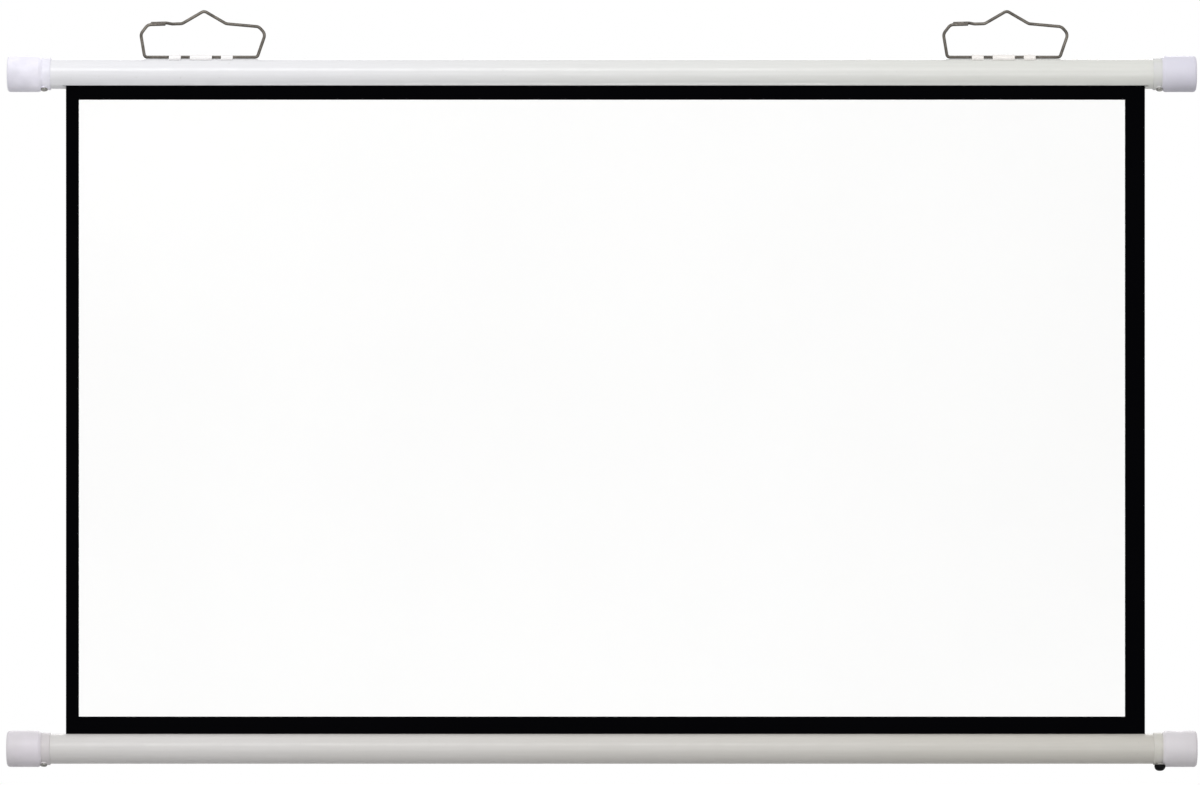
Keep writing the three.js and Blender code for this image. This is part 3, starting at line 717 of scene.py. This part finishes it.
# ---------------------------------------------------------------- light and floor
def seen(tree):
    """1 where a ray from the camera, or one seen in or through a surface, looks at the background."""
    path = tree.nodes.new("ShaderNodeLightPath")
    first, second = tree.nodes.new("ShaderNodeMath"), tree.nodes.new("ShaderNodeMath")
    first.operation = second.operation = "MAXIMUM"
    tree.links.new(path.outputs["Is Camera Ray"], first.inputs[0])
    tree.links.new(path.outputs["Is Glossy Ray"], first.inputs[1])
    tree.links.new(first.outputs[0], second.inputs[0])
    tree.links.new(path.outputs["Is Transmission Ray"], second.inputs[1])
    return second.outputs[0]


def make_world():
    """Light that grows from below to above, behind a plain white background."""
    world = bpy.data.worlds.new("studio")
    bpy.context.scene.world = world
    world.use_nodes = True
    tree = world.node_tree
    tree.nodes.clear()
    new, link = tree.nodes.new, tree.links.new
    out, mix = new("ShaderNodeOutputWorld"), new("ShaderNodeMixShader")
    light, plain = new("ShaderNodeBackground"), new("ShaderNodeBackground")
    place, height, span = new("ShaderNodeTexCoord"), new("ShaderNodeSeparateXYZ"), new("ShaderNodeMapRange")
    for socket, given in zip(span.inputs[1:5], (*SKY_HEIGHTS, *SKY_STRENGTHS)):
        socket.default_value = given
    link(place.outputs["Generated"], height.inputs[0])
    link(height.outputs["Z"], span.inputs["Value"])
    link(span.outputs[0], light.inputs["Strength"])
    for background in (light, plain):
        background.inputs["Color"].default_value = (1, 1, 1, 1)
    plain.inputs["Strength"].default_value = 1.0
    link(seen(tree), mix.inputs[0])
    link(light.outputs[0], mix.inputs[1])
    link(plain.outputs[0], mix.inputs[2])
    link(mix.outputs[0], out.inputs[0])


def area_lamp(name, at, towards, size, watts, spread):
    data = bpy.data.lights.new(name, "AREA")
    data.shape = "RECTANGLE"
    data.size, data.size_y = size
    data.energy = watts
    data.spread = math.radians(spread)
    lamp = bpy.data.objects.new(name, data)
    bpy.context.scene.collection.objects.link(lamp)
    lamp.location = at
    lamp.visible_camera = False
    lamp.rotation_euler = (Vector(towards) - Vector(at)).to_track_quat("-Z", "Y").to_euler()


def make_floor():
    """A pale round floor below the object that fades to the white of the background at its rim."""
    g = Graph("pale_floor")
    from_middle = g.tree.nodes.new("ShaderNodeVectorMath")
    from_middle.operation = "LENGTH"
    g.put(from_middle.inputs[0], g.place)
    fade = g.ramp(from_middle.outputs["Value"], *FLOOR_FADE)
    mottle = g.ramp(g.noise(scale=3.0), 0.3, 0.7)
    g.finish(Base_Color=g.mix(mottle, (0.82, 0.82, 0.82), (0.83, 0.83, 0.83)), Roughness=0.9, Specular_IOR_Level=0.1)
    white = g.node("ShaderNodeEmission", Strength=1.0)
    mix = g.tree.nodes.new("ShaderNodeMixShader")
    g.put(mix.inputs[0], g.math("MULTIPLY", fade, seen(g.tree)))
    g.put(mix.inputs[1], g.shader.outputs[0])
    g.put(mix.inputs[2], white)
    g.put(g.out.inputs["Surface"], mix.outputs[0])
    bm = bmesh.new()
    bmesh.ops.create_circle(bm, cap_ends=True, radius=FLOOR_RADIUS, segments=FLOOR_SIDES)
    mesh = bpy.data.meshes.new("floor")
    bm.to_mesh(mesh)
    bm.free()
    mesh.materials.append(g.material)
    floor = bpy.data.objects.new("floor", mesh)
    bpy.context.scene.collection.objects.link(floor)
    floor.location = (0, 0, FLOOR_Z)


# ---------------------------------------------------------------- the scene
make_camera()
mats = make_materials()
smooth_faces = rounding_group()
dress_nodes(mats)
make_cloth(mats)
for side, hand in SIDES:
    hanger(side, hand * HOOK_X, mats)
rivets(mats)
cap_screw("screw_case_left", "case_screw_left", CASE_Z, 0.0, "case", mats)
cap_screw("screw_case_right", "case_screw_right", CASE_Z, 0.0, "case", mats)
cap_screw("screw_bar_left", "bar_screw_left", BAR_Z, CLOTH_Y, "bottom_bar", mats)
make_world()
for lamp in LAMPS:
    area_lamp(*lamp)
make_floor()
bpy.context.scene.view_settings.view_transform = "Standard"
